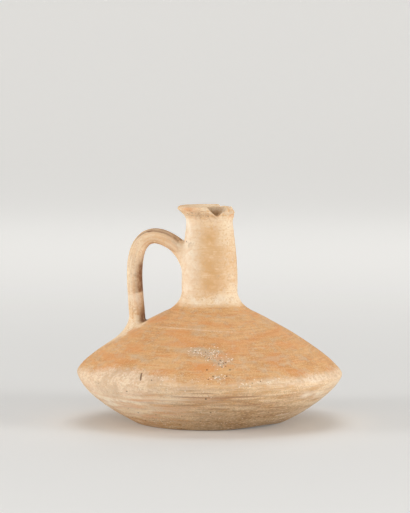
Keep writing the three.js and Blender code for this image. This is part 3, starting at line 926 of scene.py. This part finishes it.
def clay(name, roughness, relief, thrown):
    """Fired clay. Masks say where each tone lies, noise breaks them up, and thrown clay has wheel lines."""
    s = Shader(name)
    clouds = s.noise(40, 40, 4)
    mottle = s.noise(190, 230, 5)
    flecks = s.noise(430, 520, 4)
    grain = s.noise(850, 850, 3)
    streaks = s.noise(30, 420, 5)
    lines = s.noise(60, 950, 3)
    drags = s.noise(45, 240, 5)
    ragged = s.math("ADD", s.math("MULTIPLY", mottle, 1.2), s.math("MULTIPLY", grain, 1.4))
    ragged_middle = 1.3

    def edge(mask, softness, middle=0.5, strength=1.0):
        """A strength where a mask is over its middle, with a ragged edge."""
        level = middle + ragged_middle
        reached = s.math("ADD", s.mask(mask), ragged)
        return s.ramp(reached, level - softness, level + softness, 0, strength)

    def part(mask, pattern, start, end, low=0.0, high=1.0):
        """A mask broken up by a pattern."""
        return s.math("MULTIPLY", s.mask(mask), s.ramp(pattern, start, end, low, high))

    def layered(colour, *layers):
        """A tone under others, each up to a strength where its pattern goes from a start to an end."""
        for over, pattern, start, end, strength in layers:
            colour = s.mix(s.ramp(pattern, start, end, 0, strength), colour, over)
        return colour

    pale = layered(
        PALE,
        (PALE_WARM, clouds, 0.38, 0.62, 1),
        (TAN, lines, 0.47, 0.66, 0.5 * thrown),
        (CHALK, mottle, 0.46, 0.64, 0.4),
        (TAN, flecks, 0.54, 0.64, 0.5),
        (PALE_WARM, grain, 0.5, 0.68, 0.5),
    )
    slip = layered(
        SLIP,
        (SLIP_DEEP, clouds, 0.4, 0.6, 1),
        (ORANGE, streaks, 0.46, 0.64, 0.5),
        (BLOOM, mottle, 0.48, 0.64, 0.4),
        (SLIP_PALE, lines, 0.49, 0.65, 0.5),
        (RED, lines, 0.45, 0.33, 0.3),
        (SLIP_PALE, grain, 0.5, 0.64, 0.6),
        (RED, grain, 0.48, 0.36, 0.3),
    )
    scraped = layered(
        SCRAPED,
        (SCRAPED_PALE, drags, 0.4, 0.58, 1),
        (RED, streaks, 0.5, 0.64, 0.4),
        (LIME, lines, 0.51, 0.64, 0.45),
        (RED, lines, 0.43, 0.32, 0.35),
        (SCRAPED_PALE, flecks, 0.54, 0.64, 0.5),
        (SOIL, grain, 0.5, 0.62, 0.6),
    )
    soil = layered(
        SOIL,
        (SOIL_DEEP, grain, 0.46, 0.36, 0.8),
        (SOIL_DEEP, drags, 0.46, 0.34, 0.6),
        (SOIL_DEEP, flecks, 0.46, 0.38, 0.8),
        (SOIL_PALE, flecks, 0.53, 0.62, 0.8),
        (SOIL_PALE, lines, 0.52, 0.66, 0.7),
    )
    lime = layered(
        LIME,
        (LIME_WARM, mottle, 0.42, 0.6, 1),
        (CHALK, flecks, 0.47, 0.38, 0.5),
        (BLOOM, clouds, 0.5, 0.62, 0.6),
        (BLOOM, flecks, 0.52, 0.62, 0.6),
        (SCRAPED, grain, 0.52, 0.64, 0.45),
    )
    speck = s.mask("speck")
    halo = s.math("MULTIPLY", s.ramp(speck, 0.1, 0.9), s.ramp(grain, 0.44, 0.58, 0.1, 0.65))
    white = s.grits(720, 0.5, s.math("MULTIPLY", speck, 0.85))
    for ends in scratches:
        white = s.math("MAXIMUM", white, s.cut(ends, cut_width))
    # Dark grits, the nick and the pores: painted shade in small hollows.
    dark = s.math("MAXIMUM", s.grits(480, 0.3, s.math("MULTIPLY", speck, 0.4)), s.cut(nick, cut_width))
    for middle in deep_pores:
        dark = s.math("MAXIMUM", dark, s.dot(middle, pore_width))
    dark = s.math("MAXIMUM", dark, s.math("MULTIPLY", s.grits(330, 0.16, 0.02), 0.25))
    covers = (
        (TAN, part("tan", mottle, 0.36, 0.58, 0.45)),
        (scraped, edge("scraped", 0.5)),
        (slip, edge("slip", 0.45)),
        (ORANGE, part("warm", mottle, 0.25, 0.6, 0.4, 0.9)),
        (BLOOM, edge("bloom", 0.6, 0.6, 0.5)),
        (soil, edge("soil", 0.5, 0.6, 0.75)),
        (RUST, part("red", lines, 0.35, 0.6, 0.4, 0.9)),
        (CHALK, part("chalk", mottle, 0.36, 0.58, 0.55)),
        (lime, edge("crust", 0.45, 0.5, 0.85)),
        (LIME, part("line", grain, 0.3, 0.55, 0.4)),
        (FRACTURE, part("broken", grain, 0.34, 0.56, 0.2)),
        (TAN, part("broken", mottle, 0.5, 0.6, 0, 0.7)),
        # Brown stains and darker marks, with painted shade on the strap's inner side, in the corner of its
        # foot and under the lip's flare.
        (BROWN, part("stain", mottle, 0.25, 0.55, 0.6)),
        # Painted shade down the inside of the mouth
        (BORE_SHADE, s.mask("inside")),
        (GREY, halo),
        (CHALK, s.math("MULTIPLY", white, 0.8)),
        (DARK, s.math("MULTIPLY", dark, 0.8)),
    )
    colour = pale
    for over, share in covers:
        colour = s.mix(share, colour, over)
    s.set(s.surface.inputs["Base Color"], colour)
    s.set(s.surface.inputs["Roughness"], s.ramp(mottle, 0.2, 0.8, roughness - 0.07, roughness + 0.07))
    s.surface.inputs["Specular IOR Level"].default_value = 0.3
    height = s.math("MULTIPLY", streaks, 0.5)
    for pattern, rise in ((grain, 0.4), (mottle, 0.4), (flecks, 0.4), (white, 0.3), (dark, -1.2)):
        height = s.math("ADD", height, s.math("MULTIPLY", pattern, rise))
    bump = s.add("ShaderNodeBump")
    bump.inputs["Strength"].default_value = relief
    bump.inputs["Distance"].default_value = relief_height * MM
    s.set(bump.inputs["Height"], height)
    s.set(s.surface.inputs["Normal"], bump.outputs[0])
    return s.material


clays = {
    "slip_clay": clay("slip_clay_fired", 0.72, 0.5, 1),
    "scraped_clay": clay("scraped_clay_fired", 0.85, 0.8, 1),
    "neck_clay": clay("neck_clay_fired", 0.78, 0.55, 1),
    "luting_clay": clay("luting_clay_fired", 0.85, 0.65, 0.4),
    "strap_clay": clay("strap_clay_fired", 0.8, 0.65, 0),
}
slots = {part["node"]: part["material_slot"] for part in frame["record"]["subparts"]}
for node, piece in pieces.items():
    piece.data.materials.append(clays[slots[node]])
    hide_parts(node)
    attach(piece, "root")

# The coil inside the ridge keeps its solid, in the luting's clay
coil = frame["nodes"]["seam_luting"]
coil.data.materials.clear()
coil.data.materials.append(clays[slots["seam_luting"]])

# Camera, at the photo's angle, in degrees and metres. The sensor and the lens are in millimetres.
view_azimuth = 8.0
view_pitch = 4.4536
view_distance = 2.5
view_height = 0.3375
view_aside = 0.00396
sensor_width = 36
lens_length = 204
across = Vector((cos(radians(view_azimuth)), sin(radians(view_azimuth)), 0))
ahead = Vector((-sin(radians(view_azimuth)), cos(radians(view_azimuth)), 0))
camera = bpy.data.objects.new("camera", bpy.data.cameras.new("camera"))
camera.location = -view_distance * ahead - view_aside * across + Vector((0, 0, view_height))
camera.rotation_euler = (radians(90 - view_pitch), 0, radians(view_azimuth))
camera.data.sensor_width = sensor_width
camera.data.lens = lens_length
bpy.context.scene.collection.objects.link(camera)
bpy.context.scene.camera = camera


# Light: a soft box on each side, weak ones in front, behind and overhead, and a dim sky
light_aim = Vector((0, 0, 0.09))


def soft_box(name, place, size, power):
    lamp = bpy.data.lights.new(name, "AREA")
    lamp.shape = "RECTANGLE"
    lamp.size, lamp.size_y = size
    lamp.energy = power
    holder = bpy.data.objects.new(name, lamp)
    holder.location = place
    aim = light_aim - Vector(place)
    holder.rotation_euler = aim.to_track_quat("-Z", "Y").to_euler()
    holder.visible_camera = False
    bpy.context.scene.collection.objects.link(holder)


soft_box("left_box", (-1.9, -0.95, 0.46), (0.9, 0.9), 29.5)
soft_box("right_box", (1.95, -0.75, 0.48), (0.9, 0.9), 29)
soft_box("front_box", (0.3, -2.3, 0.9), (1.0, 0.8), 4.5)
soft_box("back_box", (0.0, 1.6, 1.7), (1.2, 1.0), 8)
soft_box("top_box", (0.0, 0.0, 1.9), (1.2, 1.2), 9.5)
world = bpy.data.worlds.new("studio")
world.use_nodes = True
sky = world.node_tree.nodes["Background"]
sky.inputs["Color"].default_value = (0.9, 0.92, 0.95, 1)
sky.inputs["Strength"].default_value = 0.25
bpy.context.scene.world = world
bpy.context.scene.view_settings.view_transform = "Standard"

# A pale floor that sweeps up all round, and that the camera sees a little brighter than it is lit
floor_radius = 4500
sweep_radius = 1800
sweep_end = floor_radius + sweep_radius
paper_thickness = 20
paper_back = sweep_end + paper_thickness
sweep = bezier((floor_radius, 0), (sweep_end, 0), (sweep_end, sweep_radius), count=16)
backing = ((paper_back, sweep_radius), (paper_back, -paper_thickness), (axis_gap, -paper_thickness))
floor_rows, _ = turned(np.vstack(((axis_gap, 0), sweep, backing)), 96)
floor = mesh_piece("floor", floor_rows[::-1], {}, True)
paper = Shader("floor_paper")
paper_tone = tone(222, 220, 216)
paper_glow = (0.12, 0.72)
glow_reach = 2600
paper.surface.inputs["Base Color"].default_value = paper_tone
paper.surface.inputs["Roughness"].default_value = 0.9
paper.surface.inputs["Emission Color"].default_value = paper_tone
rays = paper.add("ShaderNodeLightPath").outputs
seen = paper.math("ADD", rays["Is Camera Ray"], rays["Is Glossy Ray"])
seen = paper.math("ADD", seen, rays["Is Transmission Ray"])
away = paper.vector("LENGTH", paper.place(), (0, 0, 0), "Value")
glow = paper.ramp(away, 0, glow_reach * MM, *paper_glow)
paper.set(paper.surface.inputs["Emission Strength"], paper.math("MULTIPLY", seen, glow))
floor.data.materials.append(paper.material)
